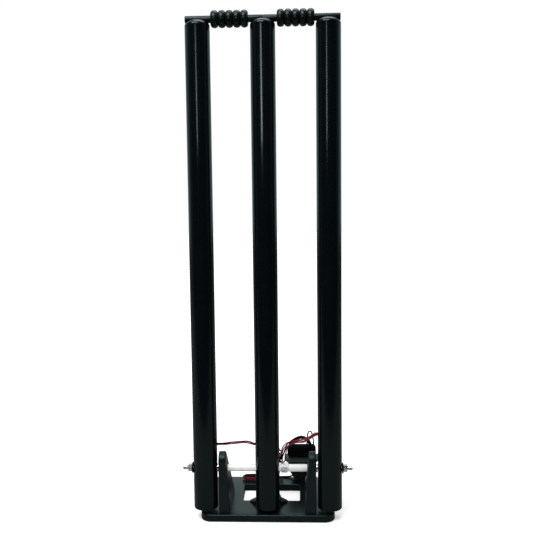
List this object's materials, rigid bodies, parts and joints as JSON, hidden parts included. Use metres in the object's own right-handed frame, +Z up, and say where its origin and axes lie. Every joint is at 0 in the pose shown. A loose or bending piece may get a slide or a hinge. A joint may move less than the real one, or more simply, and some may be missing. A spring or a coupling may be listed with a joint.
{
  "type": "spring-back cricket stumps",
  "caption": "Spring-back cricket wicket: round stumps with domed caps on a shared pivot rod over a windowed base plate, loose bails on top, wired control box behind",
  "frame": {"origin": "middle of the base plate's underside", "axes": "+X to the right along the pivot rod, +Y away from the bowler towards the control box, +Z up along the stumps"},
  "size_m": [0.252, 0.152, 0.7394],
  "materials": {
    "gloss_black": "gloss black moulded plastic",
    "powder_coat": "semi-gloss black powder coat on steel",
    "black_plastic": "satin black moulded plastic",
    "grey_plastic": "plain grey moulded plastic",
    "rubber": "black rubber",
    "zinc": "bright zinc plate on steel",
    "spring_steel": "plated spring steel wire",
    "bronze": "sintered bronze",
    "circuit_green": "green circuit board with lamps",
    "cell_wrap": "grey film round a battery cell",
    "red_wire": "red wire insulation",
    "black_wire": "black wire insulation",
    "clear_wire": "pale clear wire insulation"
  },
  "bodies": {
    "base": {"base_plate": "powder_coat", "left_ear": "powder_coat", "right_ear": "powder_coat", "left_bush": "bronze", "right_bush": "bronze", "left_ear_screw_front": "zinc", "left_ear_screw_rear": "zinc", "right_ear_screw_front": "zinc", "right_ear_screw_rear": "zinc", "stop_block": "rubber", "stop_block_screw": "zinc", "box_pedestal": "black_plastic", "pedestal_screw": "zinc", "control_box": "black_plastic", "control_box_cover": "black_plastic", "battery_cell": "cell_wrap", "control_board": "circuit_green", "box_cable": "black_wire", "aerial_wire": "black_wire", "spare_lead_red": "red_wire", "spare_lead_black": "black_wire", "lead_splice": "rubber", "pigtail_lead": "black_wire", "return_spring": "spring_steel"},
    "wicket": {"pivot_rod": "zinc", "pivot_tube": "zinc", "left_spacer": "zinc", "right_spacer": "zinc", "left_washer": "rubber", "right_washer": "rubber", "left_nut": "zinc", "right_nut": "zinc", "left_stump_tube": "gloss_black", "middle_stump_tube": "gloss_black", "right_stump_tube": "gloss_black", "left_stump_cap": "gloss_black", "middle_stump_cap": "gloss_black", "right_stump_cap": "gloss_black", "left_foot_plug": "gloss_black", "middle_foot_plug": "gloss_black", "right_foot_plug": "gloss_black", "left_light_strip": "circuit_green", "middle_light_strip": "circuit_green", "right_light_strip": "circuit_green", "left_link_red": "red_wire", "left_link_black": "black_wire", "right_link_red": "red_wire", "right_link_black": "black_wire", "right_link_clear": "clear_wire", "right_link_white": "clear_wire"},
    "left_bail": {"left_bail": "gloss_black"},
    "right_bail": {"right_bail": "gloss_black"},
    "switch": {"power_switch": "grey_plastic"}
  },
  "joints": [
    {"name": "wicket_pivot", "type": "hinge", "parent": "base", "child": "wicket", "pos_m": [0, -0.0565, 0.076], "axis": [-1, 0, 0], "range_deg": [0, 70], "stiffness_Nm_per_rad": 2.5, "springref_deg": -34.38, "deforming": ["return_spring", "pigtail_lead"]},
    {"name": "left_bail_lift", "type": "slide", "parent": "wicket", "child": "left_bail", "axis": [0, 0, 1], "range_m": [0, 0.08]},
    {"name": "right_bail_lift", "type": "slide", "parent": "wicket", "child": "right_bail", "axis": [0, 0, 1], "range_m": [0, 0.08]},
    {"name": "switch_slide", "type": "slide", "parent": "base", "child": "switch", "axis": [1, 0, 0], "range_m": [0, 0.003]}
  ]
}
